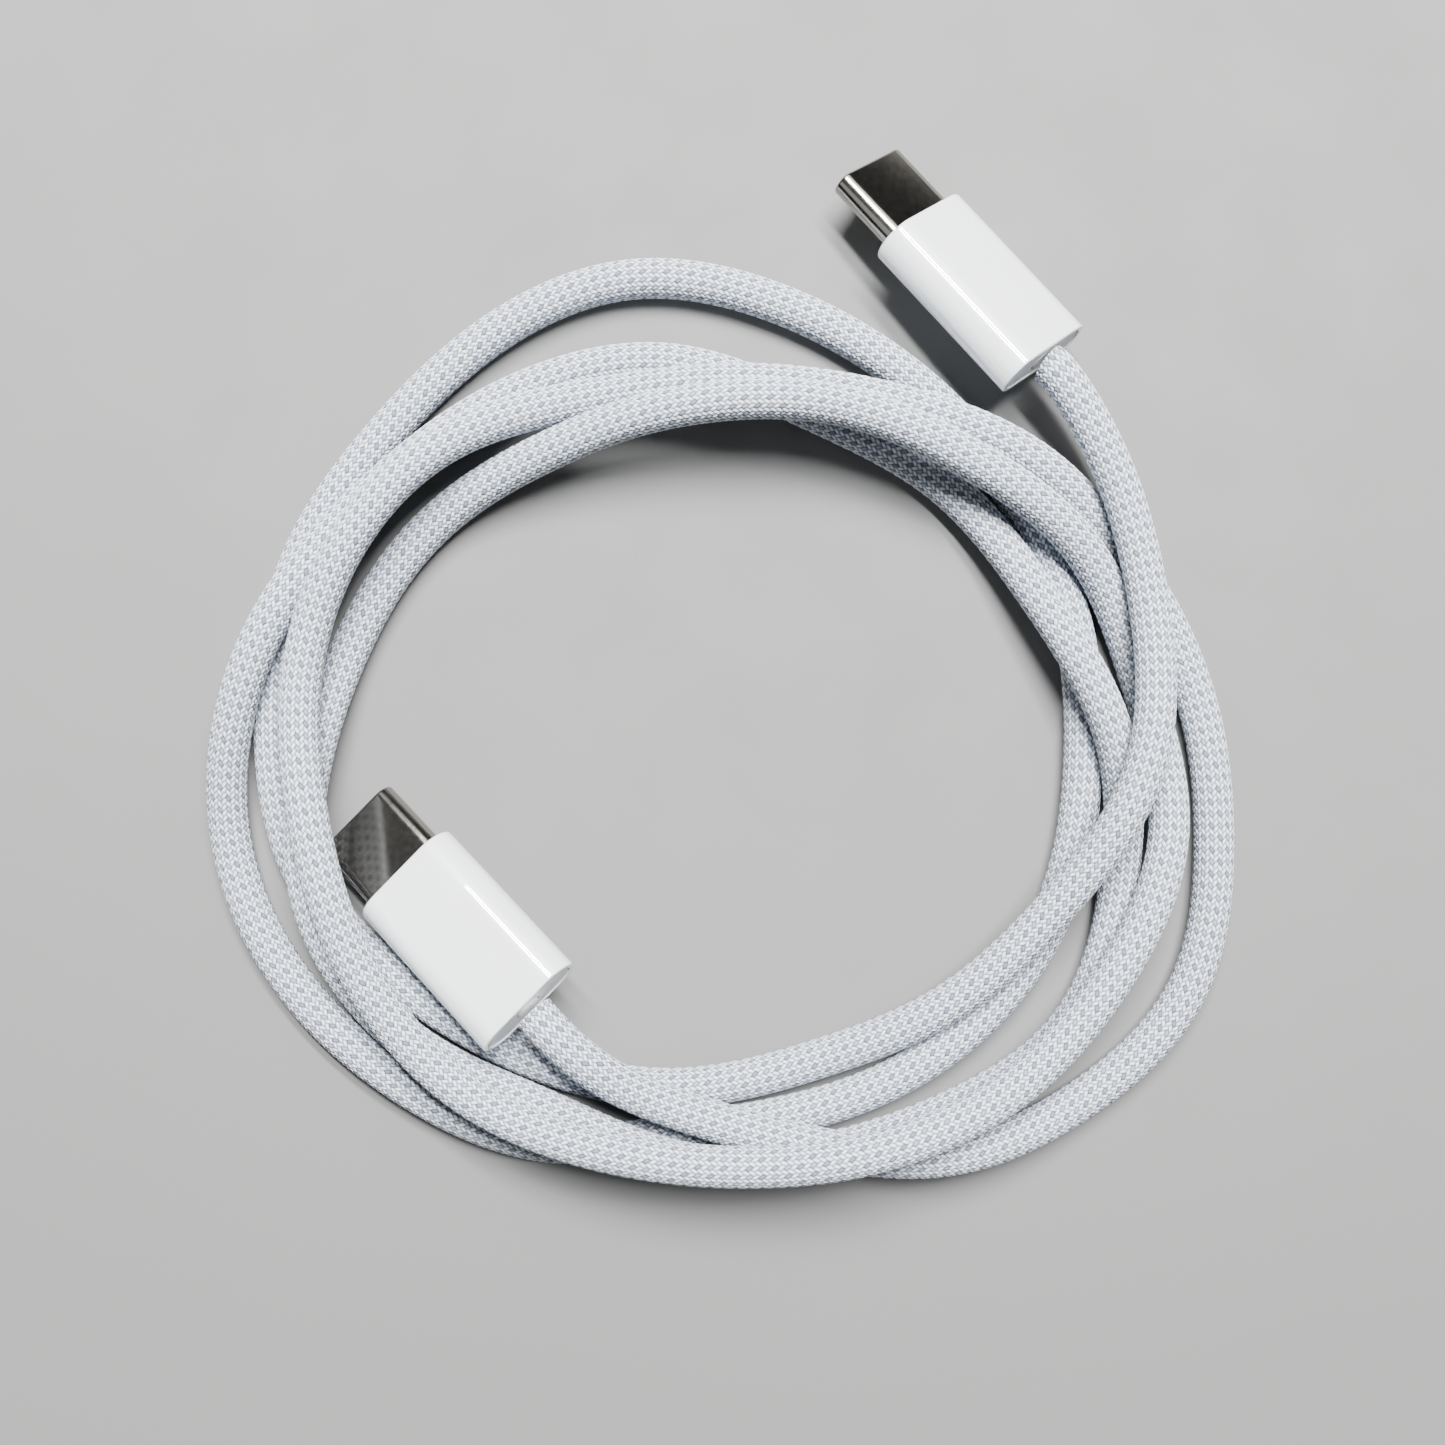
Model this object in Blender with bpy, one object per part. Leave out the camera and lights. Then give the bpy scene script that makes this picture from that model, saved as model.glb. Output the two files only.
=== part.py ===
"""USB-C to USB-C charging cable with a woven sleeve, lying in a loose round coil.

Metres, +Z up.  The cable lies on the plane z = 0 and is centred on the origin.
Each plug is modelled in its own frame: the rear face is at y = 0, the mating end points
to +Y, the width runs along X and the thickness along Z.  Then it is set where it lies.
"""

import math

import bmesh
import bpy
import numpy as np
from mathutils import Euler, Matrix, Vector

MM = 0.001

# Driving dimensions, in millimetres
CORD_RADIUS = 1.75          # woven sleeve, 3.5 mm over all
CORD_POINTS = 90            # points along the tube
LIFT_STEPS = 16             # the cord leaves the table over this many fine steps each way
MOULD_WIDTH = 10.3
MOULD_HEIGHT = 4.7
MOULD_LENGTH = 16.0
MOULD_WALL = 0.5
MOULD_NOSE = 1.2            # thickness of the front wall round the shell
MOULD_EDGE = 0.12           # small radius on the crisp ends
SHELL_WIDTH = 8.25          # steel shell, the USB-C plug's standard size
SHELL_HEIGHT = 2.4
SHELL_WALL = 0.15
SHELL_STICKOUT = 6.65
SHELL_BURIED = 3.4
FIT = 0.1                   # clearance between the small pieces inside a plug
ARC_STEPS = 8               # steps round half of a stadium section

# Where each plug's rear face lies (mm) and how it is turned (degrees)
PLUGS = {
    "plug_a": {"rear": (27.2, 25.7, 5.9), "heading": 41.0, "pitch": -7.0, "roll": 32.0},
    "plug_b": {"rear": (-16.1, -28.9, 8.1), "heading": 45.6, "pitch": -14.5, "roll": 0.0},
}

# The cord's route in millimetres, from plug a to plug b: four and a half turns, clockwise
ROUTE = [
    (27.49, 25.36, 5.95), (29.3, 23.2, 6.3), (33.6, 15.0, 6.0), (36.3, 2.7, 6.4),
    (35.1, -9.4, 8.0), (28.9, -20.0, 5.8), (19.8, -29.0, 3.8), (8.5, -34.4, 1.75),
    (-4.4, -37.0, 1.75), (-16.7, -34.4, 1.75), (-27.7, -28.0, 1.75), (-36.7, -18.0, 1.75),
    (-39.2, -4.6, 1.75), (-37.1, 8.4, 1.75), (-30.2, 19.2, 1.75), (-20.6, 28.4, 1.75),
    (-8.7, 33.5, 1.75), (4.0, 31.8, 1.75), (15.6, 25.5, 1.75), (24.5, 16.2, 1.75),
    (30.3, 4.5, 1.75), (31.5, -8.4, 1.75), (29.1, -21.1, 1.75), (21.5, -31.7, 1.75),
    (10.3, -38.1, 1.75), (-2.6, -40.8, 1.75), (-15.6, -41.7, 1.75), (-27.6, -36.8, 1.75),
    (-37.3, -28.0, 1.75), (-42.7, -16.2, 1.75), (-41.6, -3.9, 4.7), (-36.1, 7.4, 5.3),
    (-27.1, 17.3, 3.3), (-17.2, 23.9, 2.0), (-4.8, 26.3, 1.75), (7.8, 22.1, 1.75),
    (19.2, 15.7, 1.75), (27.0, 5.9, 4.3), (33.2, -5.7, 5.2), (34.7, -17.7, 1.75),
    (31.2, -30.2, 1.75), (21.5, -38.2, 1.75), (8.9, -42.6, 2.0), (-3.4, -42.5, 5.3),
    (-15.4, -38.2, 4.3), (-26.7, -32.7, 3.7), (-34.2, -22.4, 5.6), (-35.5, -10.8, 4.8),
    (-32.5, 1.2, 1.75), (-25.2, 12.1, 1.75), (-14.8, 18.1, 5.0), (-4.3, 21.2, 7.8),
    (8.9, 21.4, 8.8), (20.7, 17.0, 7.7), (30.7, 9.8, 4.9), (36.3, -1.1, 1.75),
    (38.5, -13.7, 3.6), (34.2, -25.4, 5.2), (25.7, -35.3, 5.9), (14.4, -40.3, 9.0),
    (1.6, -41.8, 9.5), (-11.2, -40.3, 8.9), (-22.5, -35.5, 7.3), (-30.4, -25.7, 8.3),
    (-34.2, -14.2, 8.8), (-35.4, -2.1, 7.2), (-31.8, 9.2, 7.9), (-23.6, 18.2, 7.2),
    (-12.0, 22.6, 4.1), (1.5, 23.8, 5.3), (14.4, 22.1, 5.4), (26.1, 17.6, 5.0),
    (35.3, 9.1, 1.75), (41.2, -2.6, 1.75), (42.9, -15.6, 1.75), (40.6, -28.3, 1.75),
    (31.7, -37.7, 1.75), (19.8, -42.1, 4.6), (7.2, -40.9, 6.0), (-4.0, -37.7, 6.3),
    (-10.2, -34.4, 8.0), (-13.7, -31.3, 8.8), (-15.71, -29.28, 8.25),
]

WHITE = ((0.86, 0.87, 0.89), 0.22, 0.0)
CAP_GREY = ((0.66, 0.67, 0.68), 0.55, 0.0)
STEEL = ((0.60, 0.58, 0.55), 0.16, 1.0)
SPRING_STEEL = ((0.70, 0.69, 0.67), 0.25, 1.0)
GOLD = ((0.90, 0.70, 0.32), 0.25, 1.0)
BLACK = ((0.03, 0.03, 0.035), 0.45, 0.0)
BOARD_GREEN = ((0.03, 0.18, 0.09), 0.40, 0.0)
MOULDING = ((0.78, 0.78, 0.76), 0.60, 0.0)
COPPER = ((0.80, 0.45, 0.28), 0.30, 1.0)
WEAVE = ((0.80, 0.81, 0.84), 0.85, 0.0)
WIRES = {
    "power_wire": (0.65, 0.05, 0.04),
    "ground_wire": (0.05, 0.05, 0.05),
    "config_wire": (0.05, 0.15, 0.60),
    "data_wire": (0.80, 0.80, 0.78),
}


def clear_scene():
    for old in list(bpy.data.objects):
        bpy.data.objects.remove(old, do_unlink=True)


def add_material(obj, finish):
    colour, roughness, metallic = finish
    mat = bpy.data.materials.new(obj.name + "_finish")
    mat.use_nodes = True
    shader = mat.node_tree.nodes["Principled BSDF"]
    shader.inputs["Base Color"].default_value = (*colour, 1.0)
    shader.inputs["Roughness"].default_value = roughness
    shader.inputs["Metallic"].default_value = metallic
    obj.data.materials.append(mat)


def add_object(name, data, collection, finish, matrix=None):
    obj = bpy.data.objects.new(name, data)
    collection.objects.link(obj)
    if matrix is not None:
        obj.matrix_world = matrix
    add_material(obj, finish)
    return obj


def smooth(mesh, degrees=35.0):
    mesh.shade_smooth()
    mesh.set_sharp_from_angle(angle=math.radians(degrees))


def stadium(width, height):
    """Points of a stadium section, flats along X and half circles at the sides, in mm."""
    radius = height / 2
    middle = width / 2 - radius
    points = []
    for side in (1, -1):
        for step in range(ARC_STEPS + 1):
            angle = math.pi * step / ARC_STEPS - math.pi / 2
            points.append((side * (middle + radius * math.cos(angle)), side * radius * math.sin(angle)))
    return points


def lofted(name, stations, closed):
    """A solid through stadium sections, each (y, width, height) in mm.

    closed joins the last section to the first, for a tube with an outside and an inside;
    otherwise both ends are filled.
    """
    bm = bmesh.new()
    rings = []
    for y, width, height in stations:
        rings.append([bm.verts.new((x * MM, y * MM, z * MM)) for x, z in stadium(width, height)])
    pairs = list(zip(rings, rings[1:]))
    if closed:
        pairs.append((rings[-1], rings[0]))
    count = len(rings[0])
    for first, second in pairs:
        for i in range(count):
            j = (i + 1) % count
            bm.faces.new((first[i], first[j], second[j], second[i]))
    if not closed:
        bm.faces.new(rings[0])
        bm.faces.new(rings[-1])
    bmesh.ops.remove_doubles(bm, verts=bm.verts, dist=1e-7)
    bmesh.ops.recalc_face_normals(bm, faces=bm.faces)
    mesh = bpy.data.meshes.new(name)
    bm.to_mesh(mesh)
    bm.free()
    smooth(mesh)
    return mesh


def box(name, low, high):
    """A rectangular block between two corners in mm."""
    bm = bmesh.new()
    bmesh.ops.create_cube(bm, size=1.0)
    for vert in bm.verts:
        vert.co = Vector(((vert.co[k] + 0.5) * (high[k] - low[k]) + low[k]) * MM for k in range(3))
    mesh = bpy.data.meshes.new(name)
    bm.to_mesh(mesh)
    bm.free()
    return mesh


def rod(name, radius, y_from, y_to, x=0.0, z=0.0, sides=16):
    """A round rod along Y, in mm."""
    bm = bmesh.new()
    turn = Matrix.Rotation(math.radians(90), 4, "X")
    place = Matrix.Translation((x * MM, (y_from + y_to) / 2 * MM, z * MM))
    bmesh.ops.create_cone(bm, cap_ends=True, segments=sides, radius1=radius * MM, radius2=radius * MM,
                          depth=(y_to - y_from) * MM, matrix=place @ turn)
    mesh = bpy.data.meshes.new(name)
    bm.to_mesh(mesh)
    bm.free()
    smooth(mesh)
    return mesh


def plate(name, outline, thickness, axis):
    """A flat outline in mm with a thickness, square to Z or, for axis Y, square to Y."""
    curve = bpy.data.curves.new(name, "CURVE")
    curve.dimensions = "2D"
    curve.fill_mode = "BOTH"
    curve.extrude = thickness / 2 * MM
    spline = curve.splines.new("POLY")
    spline.points.add(len(outline) - 1)
    for point, (u, v) in zip(spline.points, outline):
        point.co = (u * MM, v * MM, 0.0, 1.0)
    spline.use_cyclic_u = True
    holder = bpy.data.objects.new(name, curve)
    bpy.context.scene.collection.objects.link(holder)
    depsgraph = bpy.context.evaluated_depsgraph_get()
    mesh = bpy.data.meshes.new_from_object(holder.evaluated_get(depsgraph))
    bpy.data.objects.remove(holder, do_unlink=True)
    bm = bmesh.new()
    bm.from_mesh(mesh)
    bmesh.ops.remove_doubles(bm, verts=bm.verts, dist=1e-6)
    if axis == "Y":
        bmesh.ops.rotate(bm, verts=bm.verts, matrix=Matrix.Rotation(math.radians(90), 3, "X"))
    bmesh.ops.recalc_face_normals(bm, faces=bm.faces)
    bm.to_mesh(mesh)
    bm.free()
    return mesh


def half_can(width, height, wall, side):
    """Outline of one half of a thin can: the upper half for side 1, the lower for side -1."""
    outer = [(x, z) for x, z in stadium(width, height) if z * side > FIT]
    inner = [(x, z) for x, z in stadium(width - 2 * wall, height - 2 * wall) if z * side > FIT]
    outer.sort()
    inner.sort(reverse=True)
    return outer + inner


def comb(teeth, pitch, tooth, y_base, y_root, y_tip):
    """Outline of a contact row: a carrier bar with evenly spaced fingers."""
    half = (teeth - 1) * pitch / 2 + tooth / 2
    points = [(-half, y_base), (half, y_base)]
    for k in reversed(range(teeth)):
        centre = (k - (teeth - 1) / 2) * pitch
        points += [(centre + tooth / 2, y_root), (centre + tooth / 2, y_tip)]
        points += [(centre - tooth / 2, y_tip), (centre - tooth / 2, y_root)]
    points = [p for n, p in enumerate(points) if n not in (2, len(points) - 1)]
    return points


def overmould_mesh(name):
    width, height, end = MOULD_WIDTH, MOULD_HEIGHT, MOULD_LENGTH
    inside_w, inside_h = width - 2 * MOULD_WALL, height - 2 * MOULD_WALL
    mouth_w, mouth_h = SHELL_WIDTH + 2 * FIT, SHELL_HEIGHT + 2 * FIT
    edge = MOULD_EDGE
    return lofted(name, [
        (0.0, width - 2 * edge, height - 2 * edge),
        (edge * 0.3, width - edge * 0.6, height - edge * 0.6),
        (edge, width, height),
        (end - edge, width, height),
        (end - edge * 0.3, width - edge * 0.6, height - edge * 0.6),
        (end, width - 2 * edge, height - 2 * edge),
        (end, mouth_w, mouth_h),
        (end - MOULD_NOSE, mouth_w, mouth_h),
        (end - MOULD_NOSE, inside_w, inside_h),
        (0.0, inside_w, inside_h),
    ], closed=True)


def shell_mesh(name):
    back, tip = MOULD_LENGTH - SHELL_BURIED, MOULD_LENGTH + SHELL_STICKOUT
    width, height, wall = SHELL_WIDTH, SHELL_HEIGHT, SHELL_WALL
    return lofted(name, [
        (back, width, height),
        (tip - 0.25, width, height),
        (tip - 0.07, width - 0.09, height - 0.09),
        (tip, width - 0.25, height - 0.25),
        (tip - 0.15, width - 2 * wall, height - 2 * wall),
        (back, width - 2 * wall, height - 2 * wall),
    ], closed=True)


def housing_mesh(name):
    back, tip = MOULD_LENGTH - 3.2, MOULD_LENGTH + SHELL_STICKOUT - 0.45
    slot_bottom = MOULD_LENGTH + 0.6
    return lofted(name, [
        (back, 6.9, 1.5),
        (tip, 6.9, 1.5),
        (tip, 6.3, 0.9),
        (slot_bottom, 6.3, 0.9),
    ], closed=False)


def latch_outline():
    """The side latch: a strip bent round the back of the housing, with a bump on each arm."""
    back, tip = MOULD_LENGTH - 3.8, MOULD_LENGTH + 5.5
    bend, outer, inner = 0.3, 3.84, 3.58
    right = [(outer, back), (outer, tip - 1.4), (outer - 0.1, tip), (inner, tip),
             (inner, tip - 1.4), (inner, back + bend)]
    left = [(-x, y) for x, y in reversed(right)]
    return right + left


def make_plug(plug, place, collection):
    turn = Euler((math.radians(place["pitch"]), math.radians(place["roll"]), 0.0), "YXZ").to_matrix()
    heading = Matrix.Rotation(math.radians(place["heading"]), 3, "Z")
    matrix = Matrix.Translation(Vector(place["rear"]) * MM) @ (heading @ turn).to_4x4()

    def piece(label, mesh, finish):
        return add_object(f"{plug}_{label}", mesh, collection, finish, matrix)

    def plate_piece(label, outline, thickness, axis, shift, finish):
        mesh = plate(f"{plug}_{label}", outline, thickness, axis)
        mesh.transform(Matrix.Translation(Vector(shift) * MM))
        return piece(label, mesh, finish)

    piece("shell", shell_mesh(f"{plug}_shell"), STEEL)
    piece("overmould", overmould_mesh(f"{plug}_overmould"), WHITE)
    cap_w, cap_h = MOULD_WIDTH - 2 * MOULD_WALL - 2 * FIT, MOULD_HEIGHT - 2 * MOULD_WALL - 2 * FIT
    piece("rear_cap", lofted(f"{plug}_rear_cap", [
        (0.1, cap_w, cap_h), (1.1, cap_w, cap_h), (1.1, 2.5, 2.5), (0.1, 2.5, 2.5)], True), CAP_GREY)
    piece("contact_housing", housing_mesh(f"{plug}_contact_housing"), BLACK)
    for label, side in (("upper_contacts", 1), ("lower_contacts", -1)):
        outline = comb(12, 0.5, 0.24, 16.8, 17.1, 21.4)
        plate_piece(label, outline, 0.14, "Z", (0.0, 0.0, 0.27 * side), GOLD)
    for label, side in (("upper_ground_spring", 1), ("lower_ground_spring", -1)):
        outline = [(-2.6, 17.2), (2.6, 17.2), (2.6, 19.6), (2.2, 20.2), (-2.2, 20.2), (-2.6, 19.6)]
        plate_piece(label, outline, 0.12, "Z", (0.0, 0.0, 0.9 * side), SPRING_STEEL)
    plate_piece("latch_spring", latch_outline(), 0.5, "Z", (0.0, 0.0, 0.0), SPRING_STEEL)
    for label, side in (("upper_can", 1), ("lower_can", -1)):
        outline = half_can(9.2, 3.6, 0.15, side)
        plate_piece(label, outline, 6.8, "Y", (0.0, 8.5, 0.0), SPRING_STEEL)
    card = [(-3.8, 5.3), (3.8, 5.3), (3.8, 11.1), (3.2, 11.9), (-3.2, 11.9), (-3.8, 11.1)]
    plate_piece("paddle_card", card, 0.6, "Z", (0.0, 0.0, 0.0), BOARD_GREEN)
    piece("marker_chip", box(f"{plug}_marker_chip", (-1.0, 7.6, 0.4), (1.0, 9.6, 0.9)), BLACK)
    piece("strain_relief", lofted(f"{plug}_strain_relief", [
        (1.25, 8.8, 3.6), (4.6, 8.8, 3.6), (4.6, 3.2, 3.2), (1.25, 3.2, 3.2)], True), MOULDING)
    piece("crimp_collar", lofted(f"{plug}_crimp_collar", [
        (1.4, 3.0, 3.0), (4.3, 3.0, 3.0), (4.3, 2.4, 2.4), (1.4, 2.4, 2.4)], True), COPPER)
    piece("cord_core", rod(f"{plug}_cord_core", 1.1, 0.05, 4.6), MOULDING)
    for k, (label, colour) in enumerate(WIRES.items()):
        mesh = rod(f"{plug}_{label}", 0.22, 4.75, 6.3, x=(k - 1.5) * 0.56, z=0.65, sides=10)
        piece(label, mesh, (colour, 0.5, 0.0))


def natural_spline(points, count):
    """Evenly numbered points on the natural cubic through the given points."""
    knots = np.array(points, dtype=float)
    last = len(knots) - 1
    system = np.diag(np.full(last + 1, 4.0)) + np.diag(np.ones(last), 1) + np.diag(np.ones(last), -1)
    system[0, :2] = (1.0, 0.0)
    system[last, -2:] = (0.0, 1.0)
    bends = np.zeros_like(knots)
    bends[1:-1] = 6.0 * (knots[2:] - 2.0 * knots[1:-1] + knots[:-2])
    bends = np.linalg.solve(system, bends)
    where = np.linspace(0.0, last, count)
    start = np.minimum(where.astype(int), last - 1)
    after = (where - start)[:, None]
    before = 1.0 - after
    return (before * knots[start] + after * knots[start + 1]
            + ((before ** 3 - before) * bends[start] + (after ** 3 - after) * bends[start + 1]) / 6.0)


def route_points(count):
    """The cord's centre line in mm, evenly spaced and never below the table."""
    fine = natural_spline(ROUTE, 40 * len(ROUTE))
    height = np.pad(np.maximum(fine[:, 2], CORD_RADIUS), LIFT_STEPS, "edge")
    window = np.hanning(2 * LIFT_STEPS + 3)[1:-1]
    fine[:, 2] = np.convolve(height, window / window.sum(), "valid")
    steps = np.linalg.norm(np.diff(fine, axis=0), axis=1)
    length = np.concatenate(([0.0], np.cumsum(steps)))
    even = np.linspace(0.0, length[-1], count)
    return np.stack([np.interp(even, length, fine[:, k]) for k in range(3)], axis=1)


def make_cord(collection):
    curve = bpy.data.curves.new("woven_cord", "CURVE")
    curve.dimensions = "3D"
    curve.bevel_depth = CORD_RADIUS * MM
    curve.bevel_resolution = 2
    curve.use_fill_caps = True
    points = route_points(CORD_POINTS)
    spline = curve.splines.new("POLY")
    spline.points.add(len(points) - 1)
    for point, place in zip(spline.points, points):
        point.co = (*(place * MM), 1.0)
    add_object("woven_cord", curve, collection, WEAVE)


def main():
    clear_scene()
    cable = bpy.data.collections.new("charging_cable")
    bpy.context.scene.collection.children.link(cable)
    for plug, place in PLUGS.items():
        make_plug(plug, place, cable)
    make_cord(cable)


main()
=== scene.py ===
"""Looks of the woven charging cable: the braid, the moulded plugs and the steel shells."""

import math

import bmesh
import bpy
import numpy as np
from mathutils import Euler, Matrix, Vector


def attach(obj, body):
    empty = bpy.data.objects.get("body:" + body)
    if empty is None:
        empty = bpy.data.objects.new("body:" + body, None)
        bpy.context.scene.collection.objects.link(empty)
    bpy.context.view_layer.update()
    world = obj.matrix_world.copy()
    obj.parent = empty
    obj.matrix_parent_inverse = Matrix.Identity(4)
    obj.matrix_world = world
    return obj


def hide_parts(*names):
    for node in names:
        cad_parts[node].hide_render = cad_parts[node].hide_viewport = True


MM = 0.001

# Sizes in millimetres
CORD_RADIUS = 1.75          # woven sleeve, 3.5 mm over all
ROUTE_STEPS = 40            # fine points for each point of the route
LIFT_STEPS = 16             # the cord leaves the table over this many fine steps each way
MOULD_WIDTH = 10.3
MOULD_HEIGHT = 4.7
MOULD_LENGTH = 16.0
MOULD_WALL = 0.5
MOULD_NOSE = 1.2            # thickness of the front wall round the shell
MOULD_REAR_EDGE = 0.16      # radius of the rear edge
MOULD_FRONT_EDGE = 0.28     # radius of the front edge
MOULD_LIP = 0.08            # chamfer of the mouth for the shell
CAP_REAR, CAP_FRONT = 0.1, 1.1
CAP_EDGE = 0.08             # radius of the rear edge
CAP_HOLE = 2.5
SHELL_WIDTH = 8.25
SHELL_HEIGHT = 2.4
SHELL_WALL = 0.15
SHELL_EDGE = 0.22           # radius of the mouth's outer edge
SHELL_CURL = 0.1            # how far the mouth's edge stands in on each side
CURL_FRONT, CURL_REAR = 0.04, 0.25      # where the curl starts and ends behind the mouth
SHELL_STICKOUT = 6.65
SHELL_BURIED = 3.4
HOUSING_WIDTH, HOUSING_HEIGHT = 6.9, 1.5
HOUSING_BURIED = 3.2
HOUSING_RECESS = 0.45       # from the shell's mouth back to the housing's face
HOUSING_EDGE = 0.1
SLOT_WIDTH, SLOT_HEIGHT = 6.3, 0.9
SLOT_FLOOR = 0.6            # how far the slot's floor lies in front of the overmould
SMALL_CHAMFER = 0.06
FIT = 0.1                   # clearance between the small pieces inside a plug
SECTION_STEPS = 28          # steps round half of a stadium section

# The braid: twenty-eight yarns each way, each passing over two and under two
YARNS = 28
YARN_LAY = 0.525            # mm along the cord from one yarn to the next
YARN_RELIEF = 0.13          # mm from a valley to a crest
YARN_CROWN = 0.8            # power that fills out the crest along a yarn
YARN_END = 0.2              # part of the height left where a yarn goes under
YARN_STEPS = 2              # mesh steps for each yarn, around and along
GREY_YARNS = range(1, YARNS, 4)     # among the right-hand yarns
PALE_YARNS = range(3, YARNS, 4)     # among the right-hand yarns; all others are white
EDGE_NUDGE = (0.01, 0.003)  # yarns around and along, so that a point on an edge takes one side

# Each yarn's darker and lighter colour, in the order of their material numbers
YARN_TONES = {
    "white_yarn": ((0.69, 0.735, 0.79), (0.79, 0.82, 0.85)),
    "grey_yarn": ((0.16, 0.178, 0.215), (0.29, 0.315, 0.365)),
    "pale_yarn": ((0.28, 0.305, 0.355), (0.43, 0.465, 0.52)),
}

# Camera: straight above the coil's middle
CAMERA_SPOT = (0.0, -5.1, 141.5)
CAMERA_LENS = 39.86

# Where each plug's rear face lies (mm) and how it is turned (degrees)
PLUGS = {
    "plug_a": {"rear": (27.2, 25.7, 5.9), "heading": 41.0, "pitch": -7.0, "roll": 32.0},
    "plug_b": {"rear": (-16.1, -28.9, 8.1), "heading": 45.6, "pitch": -14.5, "roll": 0.0},
}

# The cord's route in millimetres, from plug a to plug b
ROUTE = [
    (27.49, 25.36, 5.95), (29.3, 23.2, 6.3), (33.6, 15.0, 6.0), (36.3, 2.7, 6.4),
    (35.1, -9.4, 8.0), (28.9, -20.0, 5.8), (19.8, -29.0, 3.8), (8.5, -34.4, 1.75),
    (-4.4, -37.0, 1.75), (-16.7, -34.4, 1.75), (-27.7, -28.0, 1.75), (-36.7, -18.0, 1.75),
    (-39.2, -4.6, 1.75), (-37.1, 8.4, 1.75), (-30.2, 19.2, 1.75), (-20.6, 28.4, 1.75),
    (-8.7, 33.5, 1.75), (4.0, 31.8, 1.75), (15.6, 25.5, 1.75), (24.5, 16.2, 1.75),
    (30.3, 4.5, 1.75), (31.5, -8.4, 1.75), (29.1, -21.1, 1.75), (21.5, -31.7, 1.75),
    (10.3, -38.1, 1.75), (-2.6, -40.8, 1.75), (-15.6, -41.7, 1.75), (-27.6, -36.8, 1.75),
    (-37.3, -28.0, 1.75), (-42.7, -16.2, 1.75), (-41.6, -3.9, 4.7), (-36.1, 7.4, 5.3),
    (-27.1, 17.3, 3.3), (-17.2, 23.9, 2.0), (-4.8, 26.3, 1.75), (7.8, 22.1, 1.75),
    (19.2, 15.7, 1.75), (27.0, 5.9, 4.3), (33.2, -5.7, 5.2), (34.7, -17.7, 1.75),
    (31.2, -30.2, 1.75), (21.5, -38.2, 1.75), (8.9, -42.6, 2.0), (-3.4, -42.5, 5.3),
    (-15.4, -38.2, 4.3), (-26.7, -32.7, 3.7), (-34.2, -22.4, 5.6), (-35.5, -10.8, 4.8),
    (-32.5, 1.2, 1.75), (-25.2, 12.1, 1.75), (-14.8, 18.1, 5.0), (-4.3, 21.2, 7.8),
    (8.9, 21.4, 8.8), (20.7, 17.0, 7.7), (30.7, 9.8, 4.9), (36.3, -1.1, 1.75),
    (38.5, -13.7, 3.6), (34.2, -25.4, 5.2), (25.7, -35.3, 5.9), (14.4, -40.3, 9.0),
    (1.6, -41.8, 9.5), (-11.2, -40.3, 8.9), (-22.5, -35.5, 7.3), (-30.4, -25.7, 8.3),
    (-34.2, -14.2, 8.8), (-35.4, -2.1, 7.2), (-31.8, 9.2, 7.9), (-23.6, 18.2, 7.2),
    (-12.0, 22.6, 4.1), (1.5, 23.8, 5.3), (14.4, 22.1, 5.4), (26.1, 17.6, 5.0),
    (35.3, 9.1, 1.75), (41.2, -2.6, 1.75), (42.9, -15.6, 1.75), (40.6, -28.3, 1.75),
    (31.7, -37.7, 1.75), (19.8, -42.1, 4.6), (7.2, -40.9, 6.0), (-4.0, -37.7, 6.3),
    (-10.2, -34.4, 8.0), (-13.7, -31.3, 8.8), (-15.71, -29.28, 8.25),
]


def make_camera():
    """The camera that looks straight down on the coil."""
    data = bpy.data.cameras.new("camera")
    data.sensor_width = 36.0
    data.lens = CAMERA_LENS
    data.clip_start = 0.005
    camera = bpy.data.objects.new("camera", data)
    camera.location = Vector(CAMERA_SPOT) * MM
    bpy.context.scene.collection.objects.link(camera)
    bpy.context.scene.camera = camera


def natural_spline(points, count):
    """Evenly numbered points on the natural cubic through the given points."""
    knots = np.array(points, dtype=float)
    last = len(knots) - 1
    system = np.diag(np.full(last + 1, 4.0)) + np.diag(np.ones(last), 1) + np.diag(np.ones(last), -1)
    system[0, :2] = (1.0, 0.0)
    system[last, -2:] = (0.0, 1.0)
    bends = np.zeros_like(knots)
    bends[1:-1] = 6.0 * (knots[2:] - 2.0 * knots[1:-1] + knots[:-2])
    bends = np.linalg.solve(system, bends)
    where = np.linspace(0.0, last, count)
    start = np.minimum(where.astype(int), last - 1)
    after = (where - start)[:, None]
    before = 1.0 - after
    return (before * knots[start] + after * knots[start + 1]
            + ((before ** 3 - before) * bends[start] + (after ** 3 - after) * bends[start + 1]) / 6.0)


def route_line():
    """The cord's centre line in mm, one point for each mesh step along it."""
    fine = natural_spline(ROUTE, ROUTE_STEPS * len(ROUTE))
    height = np.pad(np.maximum(fine[:, 2], CORD_RADIUS), LIFT_STEPS, "edge")
    window = np.hanning(2 * LIFT_STEPS + 3)[1:-1]
    fine[:, 2] = np.convolve(height, window / window.sum(), "valid")
    steps = np.linalg.norm(np.diff(fine, axis=0), axis=1)
    length = np.concatenate(([0.0], np.cumsum(steps)))
    even = np.linspace(0.0, length[-1], int(length[-1] * YARN_STEPS / YARN_LAY) + 1)
    return np.stack([np.interp(even, length, fine[:, k]) for k in range(3)], axis=1), length[-1]


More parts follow.
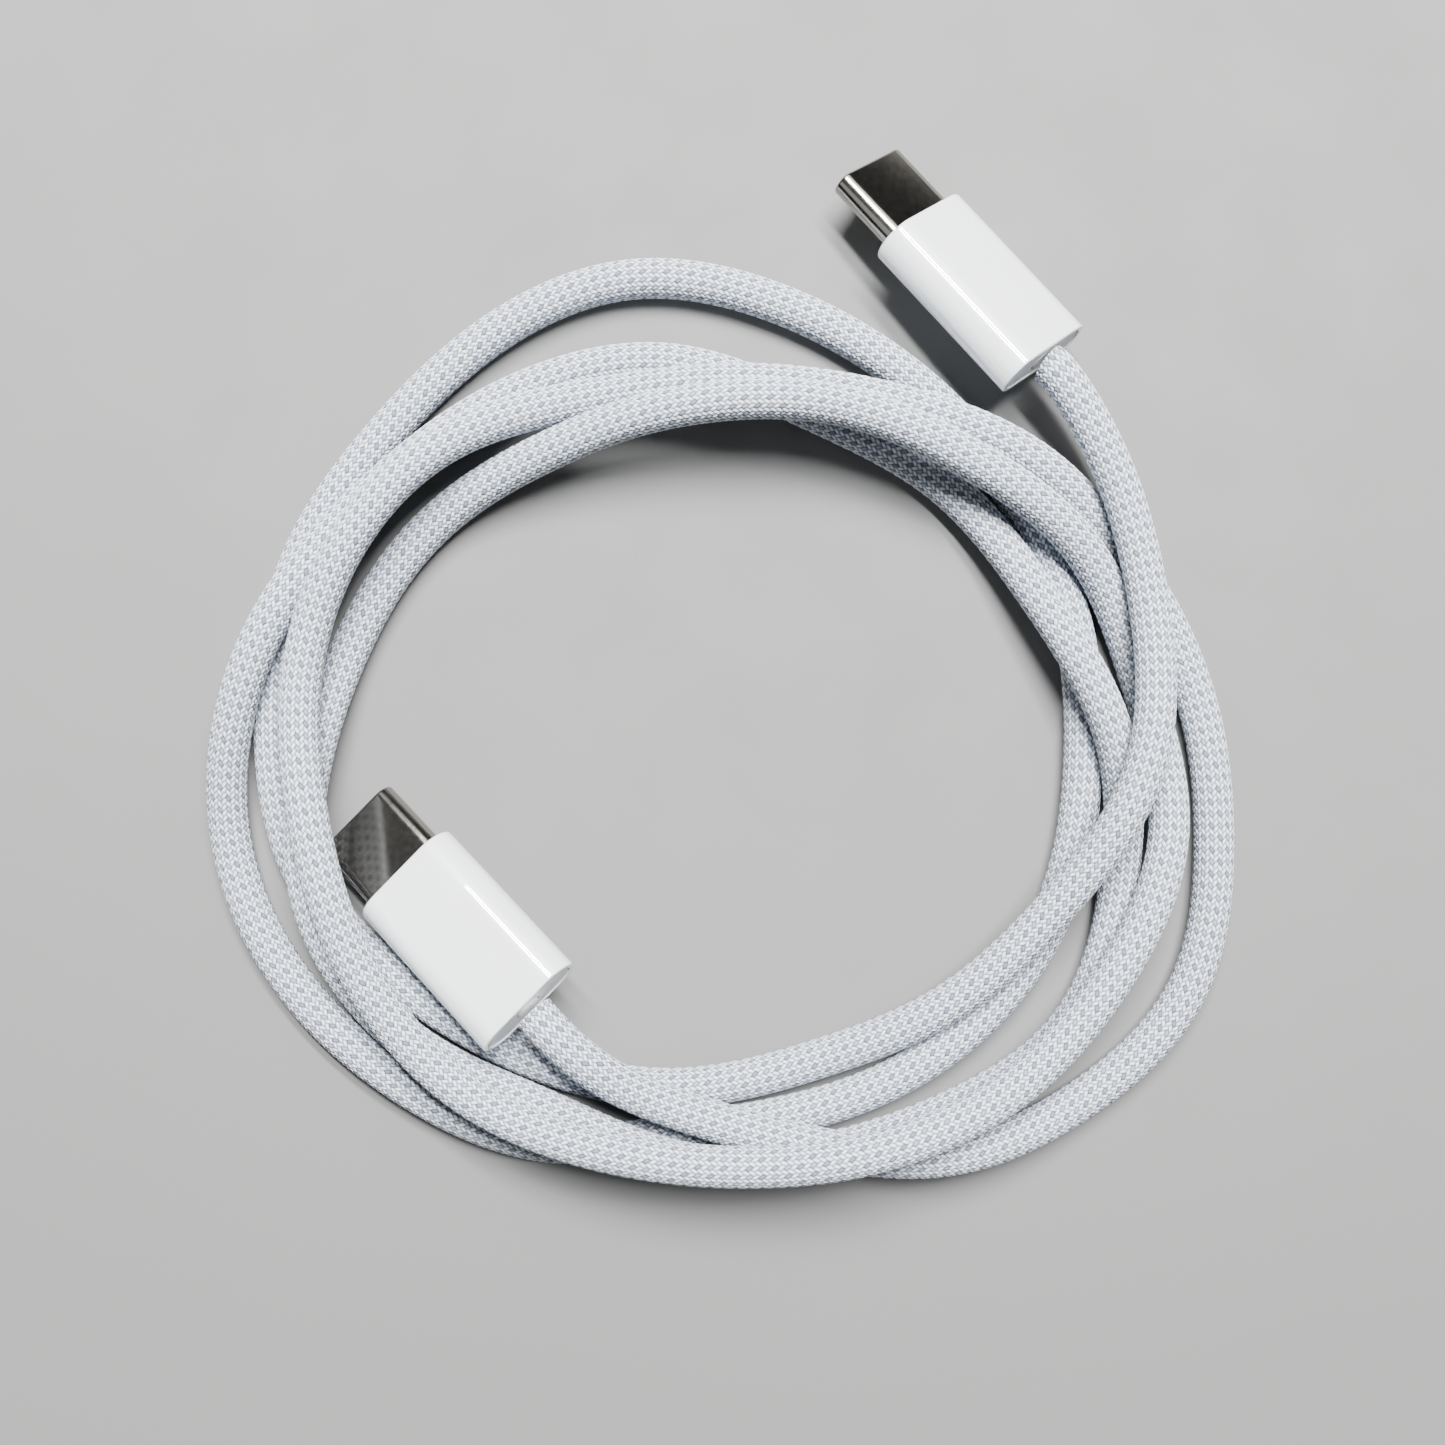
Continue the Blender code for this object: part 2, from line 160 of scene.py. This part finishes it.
def carried_frames(line):
    """Unit vectors across the line that turn with it and never twist about it."""
    tangent = np.gradient(line, axis=0)
    tangent /= np.linalg.norm(tangent, axis=1)[:, None]
    side = np.zeros_like(line)
    side[0] = np.cross(tangent[0], (0.0, 0.0, 1.0))
    side[0] /= np.linalg.norm(side[0])
    for k in range(1, len(line)):
        flat = side[k - 1] - tangent[k] * np.dot(side[k - 1], tangent[k])
        side[k] = flat / np.linalg.norm(flat)
    return side, np.cross(tangent, side)


def yarn_at(around, along, inside_around, inside_along):
    """Which yarn shows at a place, where on it, and its height from 0 to 1.

    around and along count yarns.  Right-hand yarns keep one a and left-hand yarns one b,
    and each passes over two and under two.  The inside place says which crossing is meant.
    """
    a, b = around + along, around - along
    row, column = np.floor(inside_around + inside_along), np.floor(inside_around - inside_along)
    turn = np.mod(row + column, 4)
    right = turn < 2
    across = np.where(right, a - row, b - column)
    run = np.where(right, b - column + turn, a - row + turn - 2) / 2
    crown = np.sin(np.pi * np.clip(run, 0.0, 1.0)) ** YARN_CROWN
    rounding = np.sqrt(np.clip(1.0 - (2.0 * across - 1.0) ** 2, 0.0, 1.0))
    height = rounding * (YARN_END + (1.0 - YARN_END) * crown)
    yarn = np.where(right, np.mod(row, YARNS), YARNS + np.mod(column, YARNS))
    return yarn, across, run, height


def yarn_net(count, rings):
    """A net of rings cut into triangles so that each triangle belongs to one yarn.

    Gives the points of each triangle, the place of each of its corners on the yarn and its tone.
    """
    k, n = np.meshgrid(np.arange(count), np.arange(rings - 1))
    corners = [(k, n), (k + 1, n), (k + 1, n + 1), (k, n + 1)]

    # Each square of the net is cut along the yarn edge in it, or along the yarn that fills it
    falling = np.mod(k + n + 1, YARN_STEPS) == 0
    sides = []
    for part in (1 / 3, 2 / 3):
        middle_k = np.where(falling, k + part, k + 1 - part) / YARN_STEPS
        middle_n = (n + part) / YARN_STEPS
        sides.append(yarn_at(middle_k, middle_n, middle_k, middle_n)[0])
    falling = falling ^ (sides[0] == sides[1])
    halves = []
    for straight, cut in (((0, 1, 2), (0, 1, 3)), ((0, 2, 3), (1, 2, 3))):
        halves.append([tuple(np.where(falling, corners[c][axis], corners[s][axis]) for axis in (0, 1))
                       for s, c in zip(straight, cut)])

    faces, spots, tones = [], [], []
    for triangle in halves:
        middle_k = sum(corner[0] for corner in triangle) / 3 / YARN_STEPS
        middle_n = sum(corner[1] for corner in triangle) / 3 / YARN_STEPS
        spot = []
        for corner in triangle:
            at_k, at_n = corner[0] / YARN_STEPS, corner[1] / YARN_STEPS
            yarn, across, run, _ = yarn_at(at_k, at_n, middle_k, middle_n)
            spot.append(np.stack([across, run, np.zeros_like(run)], axis=-1))
        spots.append(np.stack(spot, axis=-2).reshape(-1, 3, 3))
        face = [corner[1] * count + corner[0] % count for corner in triangle]
        faces.append(np.stack(face, axis=-1).reshape(-1, 3))
        tones.append((np.isin(yarn, GREY_YARNS) + 2 * np.isin(yarn, PALE_YARNS)).reshape(-1))
    return np.concatenate(faces), np.concatenate(spots), np.concatenate(tones)


def make_braid():
    """The woven sleeve over the cord, with a flat cap at each end."""
    line, length = route_line()
    side, up = carried_frames(line)
    rings = len(line)
    count = YARNS * YARN_STEPS
    around, along = np.meshgrid(np.arange(count) / YARN_STEPS, np.arange(rings) / YARN_STEPS)
    height = yarn_at(around, along, around + EDGE_NUDGE[0], along + EDGE_NUDGE[1])[3]
    radius = CORD_RADIUS - YARN_RELIEF * (1.0 - height)
    turn = 2 * np.pi * np.arange(count) / count
    ring = np.cos(turn)[None, :, None] * side[:, None, :] + np.sin(turn)[None, :, None] * up[:, None, :]
    points = (line[:, None, :] + radius[:, :, None] * ring).reshape(-1, 3)
    faces, spots, tones = yarn_net(count, rings)

    mesh = bpy.data.meshes.new("braid_sleeve")
    last = (rings - 1) * count
    caps = [list(range(count))[::-1], [last + i for i in range(count)]]
    mesh.from_pydata((points * MM).tolist(), [], faces.tolist() + caps)
    layer = mesh.attributes.new("yarn", "FLOAT_VECTOR", "CORNER")
    spots = np.concatenate([spots.reshape(-1, 3), np.full((2 * count, 3), 0.5)])
    layer.data.foreach_set("vector", spots.reshape(-1).astype(np.float32))
    for name, (low, high) in YARN_TONES.items():
        mesh.materials.append(yarn_material(name, low, high))
    mesh.polygons.foreach_set("material_index", np.concatenate([tones, [0, 0]]).astype(np.int32))
    mesh.shade_smooth()
    braid = bpy.data.objects.new("braid_sleeve", mesh)
    bpy.context.scene.collection.objects.link(braid)
    return braid, line, length


class Nodes:
    """A short way to write a material's node tree."""

    def __init__(self, name):
        self.material = bpy.data.materials.new(name)
        self.material.use_nodes = True
        self.tree = self.material.node_tree
        self.shader = self.tree.nodes["Principled BSDF"]

    def add(self, kind, **settings):
        node = self.tree.nodes.new(kind)
        for key, value in settings.items():
            setattr(node, key, value)
        return node

    def link(self, source, target):
        self.tree.links.new(source, target)

    def math(self, operation, first, second=None, clamp=False):
        node = self.add("ShaderNodeMath", operation=operation, use_clamp=clamp)
        for socket, value in zip(node.inputs, (first, second)):
            if value is None:
                continue
            if isinstance(value, (int, float)):
                socket.default_value = value
            else:
                self.link(value, socket)
        return node.outputs[0]

    def noise(self, scale, detail=3.0, roughness=0.5):
        where = self.add("ShaderNodeTexCoord")
        node = self.add("ShaderNodeTexNoise")
        node.inputs["Scale"].default_value = scale
        node.inputs["Detail"].default_value = detail
        node.inputs["Roughness"].default_value = roughness
        self.link(where.outputs["Object"], node.inputs["Vector"])
        return node.outputs["Fac"]

    def ramp(self, factor, *stops):
        node = self.add("ShaderNodeValToRGB")
        while len(node.color_ramp.elements) < len(stops):
            node.color_ramp.elements.new(0.5)
        for element, (position, colour) in zip(node.color_ramp.elements, stops):
            element.position = position
            element.color = (*colour, 1.0)
        self.link(factor, node.inputs["Fac"])
        return node.outputs["Color"]

    def blend(self, factor, first, second, mode="MIX"):
        node = self.add("ShaderNodeMix", data_type="RGBA", blend_type=mode)
        sockets = (node.inputs["Factor"], node.inputs[6], node.inputs[7])
        for socket, value in zip(sockets, (factor, first, second)):
            if isinstance(value, tuple):
                socket.default_value = (*value, 1.0)
            elif isinstance(value, (int, float)):
                socket.default_value = value
            else:
                self.link(value, socket)
        return node.outputs[2]

    def bump(self, height, strength, distance):
        node = self.add("ShaderNodeBump")
        node.inputs["Strength"].default_value = strength
        node.inputs["Distance"].default_value = distance
        self.link(height, node.inputs["Height"])
        self.link(node.outputs["Normal"], self.shader.inputs["Normal"])

    def set(self, **values):
        for key, value in values.items():
            self.shader.inputs[key.replace("_", " ")].default_value = value

    def roughness(self, factor, low, high):
        node = self.add("ShaderNodeMapRange")
        node.inputs["To Min"].default_value = low
        node.inputs["To Max"].default_value = high
        self.link(factor, node.inputs["Value"])
        self.link(node.outputs["Result"], self.shader.inputs["Roughness"])


def yarn_material(name, low, high):
    """A yarn of fine filaments: round across, tucked under at both ends of each float, with painted shade
    that darkens its colour down into the valleys between yarns.
    """
    n = Nodes(name)
    place = n.add("ShaderNodeAttribute", attribute_name="yarn")
    split = n.add("ShaderNodeSeparateXYZ")
    n.link(place.outputs["Vector"], split.inputs["Vector"])
    across, run = split.outputs["X"], split.outputs["Y"]
    off = n.math("SUBTRACT", n.math("MULTIPLY", across, 2.0), 1.0)
    rounding = n.math("SQRT", n.math("SUBTRACT", 1.0, n.math("MULTIPLY", off, off), True))
    crown = n.math("POWER", n.math("SINE", n.math("MULTIPLY", run, math.pi)), YARN_CROWN)
    rise = n.math("ADD", n.math("MULTIPLY", crown, 1.0 - YARN_END), YARN_END)
    height = n.math("MULTIPLY", rounding, rise)
    mottle = n.noise(1500.0, 3.0, 0.7)
    fuzz = n.noise(9000.0, 2.0, 0.5)
    lean = n.math("ADD", n.math("MULTIPLY", across, 3.0), n.math("MULTIPLY", run, 0.6))
    lean = n.math("ADD", lean, n.math("MULTIPLY", mottle, 0.7))
    threads = n.math("SINE", n.math("MULTIPLY", lean, 2 * math.pi))
    threads = n.math("ADD", n.math("MULTIPLY", threads, 0.5), 0.5)
    # Painted shade: the colour is darkened by the yarn's height, nearly black in the valleys, half dark on
    # the flanks, full colour at the crest
    valley, flank, crest = (0.10, 0.11, 0.14), (0.50, 0.52, 0.57), (1.0, 1.0, 1.0)
    valley_shade = n.ramp(height, (0.0, valley), (0.5, flank), (0.88, crest))
    lines = n.blend(threads, (0.90, 0.90, 0.91), (1.0, 1.0, 1.0))
    colour = n.blend(1.0, n.blend(mottle, low, high), valley_shade, "MULTIPLY")
    n.link(n.blend(1.0, colour, lines, "MULTIPLY"), n.shader.inputs["Base Color"])
    n.roughness(fuzz, 0.6, 0.85)
    n.set(Specular_IOR_Level=0.3)
    relief = n.math("ADD", height, n.math("MULTIPLY", threads, 0.10))
    n.bump(n.math("ADD", relief, n.math("MULTIPLY", fuzz, 0.10)), 0.7, 0.00014)
    return n.material


def plastic(name, low, high, rough, bump=0.05, scale=400.0, coat=0.0):
    """Moulded plastic: a slight cloudiness in colour and in gloss, and a faint skin."""
    n = Nodes(name)
    cloud = n.noise(scale, 4.0)
    fine = n.noise(scale * 12, 3.0)
    n.link(n.blend(cloud, low, high), n.shader.inputs["Base Color"])
    n.roughness(fine, rough * 0.8, rough * 1.25)
    n.set(Coat_Weight=coat, Coat_Roughness=0.03, Coat_IOR=1.9)
    n.bump(fine, bump, 0.00002)
    return n.material


def metal(name, low, high, rough, stretch=(1.0, 1.0, 1.0), scale=2500.0, bump=0.05):
    """Metal with fine drawn or stamped marks."""
    n = Nodes(name)
    where = n.add("ShaderNodeTexCoord")
    mapping = n.add("ShaderNodeMapping")
    mapping.inputs["Scale"].default_value = stretch
    n.link(where.outputs["Object"], mapping.inputs["Vector"])
    marks = n.add("ShaderNodeTexNoise")
    marks.inputs["Scale"].default_value = scale
    marks.inputs["Detail"].default_value = 4.0
    n.link(mapping.outputs["Vector"], marks.inputs["Vector"])
    n.link(n.blend(marks.outputs["Fac"], low, high), n.shader.inputs["Base Color"])
    n.roughness(marks.outputs["Fac"], rough * 0.7, rough * 1.4)
    n.set(Metallic=1.0)
    n.bump(marks.outputs["Fac"], bump, 0.00001)
    return n.material


def make_materials():
    """The finishes of the plugs' pieces and of the floor."""
    return {
        "shell": metal("polished_steel", (0.30, 0.285, 0.255), (0.36, 0.345, 0.315), 0.15, bump=0.004),
        "overmould": plastic("white_gloss", (0.80, 0.82, 0.835), (0.84, 0.86, 0.87), 0.28, 0.005, 250.0, 1.0),
        "rear_cap": plastic("cap_grey", (0.60, 0.61, 0.62), (0.68, 0.69, 0.70), 0.55, 0.25, 900.0),
        "contact_housing": plastic("black_insulator", (0.02, 0.02, 0.022), (0.04, 0.04, 0.045), 0.42, 0.2),
        "contacts": metal("gold_contacts", (0.86, 0.62, 0.25), (0.93, 0.73, 0.36), 0.22),
        "spring": metal("spring_steel", (0.62, 0.61, 0.59), (0.74, 0.73, 0.71), 0.26),
        "paddle_card": plastic("green_board", (0.02, 0.13, 0.06), (0.04, 0.22, 0.11), 0.35, 0.2),
        "moulding": plastic("inner_moulding", (0.70, 0.70, 0.68), (0.80, 0.80, 0.78), 0.6, 0.3),
        "crimp_collar": metal("copper_collar", (0.72, 0.40, 0.24), (0.84, 0.50, 0.32), 0.3),
        "power_wire": plastic("red_insulation", (0.55, 0.03, 0.03), (0.70, 0.06, 0.05), 0.45),
        "config_wire": plastic("blue_insulation", (0.03, 0.12, 0.50), (0.06, 0.18, 0.65), 0.45),
        "floor": plastic("pale_floor", (0.165, 0.166, 0.163), (0.180, 0.181, 0.178), 0.7, 0.0, 8.0),
    }


NODE_FINISH = {
    "marker_chip": "contact_housing",
    "ground_wire": "contact_housing",
    "upper_contacts": "contacts",
    "lower_contacts": "contacts",
    "upper_ground_spring": "spring",
    "lower_ground_spring": "spring",
    "latch_spring": "spring",
    "upper_can": "spring",
    "lower_can": "spring",
    "paddle_card": "paddle_card",
    "strain_relief": "moulding",
    "cord_core": "moulding",
    "data_wire": "moulding",
    "crimp_collar": "crimp_collar",
    "power_wire": "power_wire",
    "config_wire": "config_wire",
}


def stadium(width, height, steps):
    """Points of a stadium section, flats along X and half circles at the sides, in mm."""
    radius = height / 2
    middle = width / 2 - radius
    points = []
    for side in (1, -1):
        for step in range(steps + 1):
            angle = math.pi * step / steps - math.pi / 2
            points.append((side * (middle + radius * math.cos(angle)), side * radius * math.sin(angle)))
    return points


def lofted(name, stations, closed):
    """A skin through stadium sections (y, width, height) in mm, as a tube wall or a solid."""
    bm = bmesh.new()
    rings = []
    for y, width, height in stations:
        section = stadium(width, height, SECTION_STEPS)
        rings.append([bm.verts.new((x * MM, y * MM, z * MM)) for x, z in section])
    pairs = list(zip(rings, rings[1:]))
    if closed:
        pairs.append((rings[-1], rings[0]))
    count = len(rings[0])
    for first, second in pairs:
        for i in range(count):
            j = (i + 1) % count
            bm.faces.new((first[i], first[j], second[j], second[i]))
    if not closed:
        bm.faces.new(rings[0])
        bm.faces.new(rings[-1])
    bmesh.ops.remove_doubles(bm, verts=bm.verts, dist=1e-7)
    bmesh.ops.recalc_face_normals(bm, faces=bm.faces)
    mesh = bpy.data.meshes.new(name)
    bm.to_mesh(mesh)
    bm.free()
    mesh.shade_smooth()
    mesh.set_sharp_from_angle(angle=math.radians(40))
    return mesh


def rounded_end(y, width, height, radius, outward, turns=4):
    """Stations for a small rounded edge that ends at y; outward is 1 towards the tip."""
    stations = []
    for k in range(turns + 1):
        angle = math.pi / 2 * k / turns
        drop = radius * (1 - math.cos(angle))
        back = radius * (1 - math.sin(angle))
        stations.append((y - outward * back, width - 2 * drop, height - 2 * drop))
    return stations


def overmould_mesh(name):
    """The white overmould: a tube whose front wall leaves a mouth for the shell."""
    width, height, end = MOULD_WIDTH, MOULD_HEIGHT, MOULD_LENGTH
    inside_w, inside_h = width - 2 * MOULD_WALL, height - 2 * MOULD_WALL
    mouth_w, mouth_h = SHELL_WIDTH + 2 * FIT, SHELL_HEIGHT + 2 * FIT
    rear = rounded_end(0.0, width, height, MOULD_REAR_EDGE, -1)[::-1]
    nose = rounded_end(end, width, height, MOULD_FRONT_EDGE, 1, 6)
    lip = [(end, mouth_w + 2 * MOULD_LIP, mouth_h + 2 * MOULD_LIP), (end - MOULD_LIP, mouth_w, mouth_h)]
    inside = [(end - MOULD_NOSE, mouth_w, mouth_h), (end - MOULD_NOSE, inside_w, inside_h),
              (SMALL_CHAMFER, inside_w, inside_h),
              (0.0, inside_w + 2 * SMALL_CHAMFER, inside_h + 2 * SMALL_CHAMFER)]
    return lofted(name, rear + nose + lip + inside, True)


def shell_mesh(name):
    """The steel shell: a thin tube, rounded at the mouth, with its edge curled in."""
    back, tip = MOULD_LENGTH - SHELL_BURIED, MOULD_LENGTH + SHELL_STICKOUT
    width, height, wall = SHELL_WIDTH, SHELL_HEIGHT, SHELL_WALL
    nose = rounded_end(tip, width, height, SHELL_EDGE, 1, 6)
    inside_w, inside_h = width - 2 * wall, height - 2 * wall
    inside = [(tip - CURL_FRONT, inside_w - 2 * SHELL_CURL, inside_h - 2 * SHELL_CURL),
              (tip - CURL_REAR, inside_w, inside_h), (back, inside_w, inside_h)]
    return lofted(name, [(back, width, height)] + nose + inside, True)


def cap_mesh(name):
    """The rear cap: a plate with a round hole that the cord goes into."""
    width, height = MOULD_WIDTH - 2 * MOULD_WALL - 2 * FIT, MOULD_HEIGHT - 2 * MOULD_WALL - 2 * FIT
    rear = rounded_end(CAP_REAR, width, height, CAP_EDGE, -1, 3)[::-1]
    mouth = CAP_HOLE + 2 * SMALL_CHAMFER
    hole = [(CAP_FRONT, width, height), (CAP_FRONT, CAP_HOLE, CAP_HOLE),
            (CAP_REAR + SMALL_CHAMFER, CAP_HOLE, CAP_HOLE), (CAP_REAR, mouth, mouth)]
    return lofted(name, rear + hole, True)


def housing_mesh(name):
    """The black contact housing: a block with a flat slot in its face."""
    back, tip = MOULD_LENGTH - HOUSING_BURIED, MOULD_LENGTH + SHELL_STICKOUT - HOUSING_RECESS
    nose = rounded_end(tip, HOUSING_WIDTH, HOUSING_HEIGHT, HOUSING_EDGE, 1, 3)
    slot = [(tip, SLOT_WIDTH + 2 * SMALL_CHAMFER, SLOT_HEIGHT + 2 * SMALL_CHAMFER),
            (tip - HOUSING_EDGE, SLOT_WIDTH, SLOT_HEIGHT),
            (MOULD_LENGTH + SLOT_FLOOR, SLOT_WIDTH, SLOT_HEIGHT)]
    return lofted(name, [(back, HOUSING_WIDTH, HOUSING_HEIGHT)] + nose + slot, False)


def plug_matrix(place):
    """How a plug lies: its own frame has the rear face at y = 0 and the tip along +Y."""
    turn = Euler((math.radians(place["pitch"]), math.radians(place["roll"]), 0.0), "YXZ").to_matrix()
    heading = Matrix.Rotation(math.radians(place["heading"]), 3, "Z")
    return Matrix.Translation(Vector(place["rear"]) * MM) @ (heading @ turn).to_4x4()


def make_plug(plug, place, nodes, finishes):
    """The plug's seen pieces as fine meshes, and a finish for each of its other nodes."""
    matrix = plug_matrix(place)
    pieces = []
    for label, build in (("shell", shell_mesh), ("overmould", overmould_mesh),
                         ("rear_cap", cap_mesh), ("contact_housing", housing_mesh)):
        mesh = build(f"{plug}_{label}_fine")
        mesh.transform(matrix)
        piece = bpy.data.objects.new(mesh.name, mesh)
        bpy.context.scene.collection.objects.link(piece)
        mesh.materials.append(finishes[label])
        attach(piece, "root")
        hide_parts(f"{plug}_{label}")
        pieces.append(piece)
    for label, finish in NODE_FINISH.items():
        node = nodes[f"{plug}_{label}"]
        node.data.materials.clear()
        node.data.materials.append(finishes[finish])
        pieces.append(node)
    return pieces


def area_light(name, spot, size, power, colour=(1.0, 1.0, 1.0), run=(-0.707, 0.707, 0.0)):
    """A soft lamp turned to the cable, whose long side runs level along the given way."""
    data = bpy.data.lights.new(name, "AREA")
    data.shape = "RECTANGLE"
    data.size, data.size_y = size
    data.energy = power
    data.color = colour
    lamp = bpy.data.objects.new(name, data)
    lamp.location = spot
    length = Vector(run).normalized()
    back = Vector(spot) - length * length.dot(Vector(spot))
    back.normalize()
    lamp.rotation_euler = Matrix((length, back.cross(length), back)).transposed().to_euler()
    bpy.context.scene.collection.objects.link(lamp)


def make_studio(floor_finish):
    """A plain floor, two long strip lamps, a key, a fill and a dim sky."""
    bpy.ops.mesh.primitive_plane_add(size=12.0, location=(0.0, 0.0, 0.0))
    floor = bpy.context.object
    floor.name = "floor"
    floor.data.materials.append(floor_finish)
    area_light("strip_near", (-0.006, 0.206, 0.50), (0.36, 0.036), 8.2)
    area_light("strip_far", (0.059, 0.271, 0.48), (0.36, 0.044), 8.4)
    area_light("key_light", (0.12, 0.36, 0.40), (0.30, 0.22), 0.8, (1.0, 0.99, 0.97), (1.0, 0.0, 0.0))
    area_light("fill_light", (-0.42, -0.15, 0.42), (0.45, 0.45), 0.5, (0.93, 0.96, 1.0), (0.0, 1.0, 0.0))
    world = bpy.data.worlds.new("studio")
    bpy.context.scene.world = world
    world.use_nodes = True
    tree = world.node_tree
    where = tree.nodes.new("ShaderNodeTexCoord")
    split = tree.nodes.new("ShaderNodeSeparateXYZ")
    ramp = tree.nodes.new("ShaderNodeValToRGB")
    ramp.color_ramp.elements[0].position = 0.05
    ramp.color_ramp.elements[0].color = (0.10, 0.10, 0.10, 1.0)
    ramp.color_ramp.elements[1].position = 0.75
    ramp.color_ramp.elements[1].color = (0.75, 0.76, 0.78, 1.0)
    tree.links.new(where.outputs["Generated"], split.inputs["Vector"])
    tree.links.new(split.outputs["Z"], ramp.inputs["Fac"])
    tree.links.new(ramp.outputs["Color"], tree.nodes["Background"].inputs["Color"])
    tree.nodes["Background"].inputs["Strength"].default_value = 0.13


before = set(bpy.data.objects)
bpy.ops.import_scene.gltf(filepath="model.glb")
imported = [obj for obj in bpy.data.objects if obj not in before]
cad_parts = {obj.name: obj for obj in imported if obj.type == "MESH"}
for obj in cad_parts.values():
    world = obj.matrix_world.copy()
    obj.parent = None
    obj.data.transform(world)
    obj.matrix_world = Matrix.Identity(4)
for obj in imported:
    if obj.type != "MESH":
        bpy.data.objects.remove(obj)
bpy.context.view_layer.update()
make_camera()
braid, line, length = make_braid()
finishes = make_materials()
plugs = {plug: make_plug(plug, place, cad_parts, finishes) for plug, place in PLUGS.items()}

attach(braid, "root")
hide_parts("woven_cord")
make_studio(finishes["floor"])
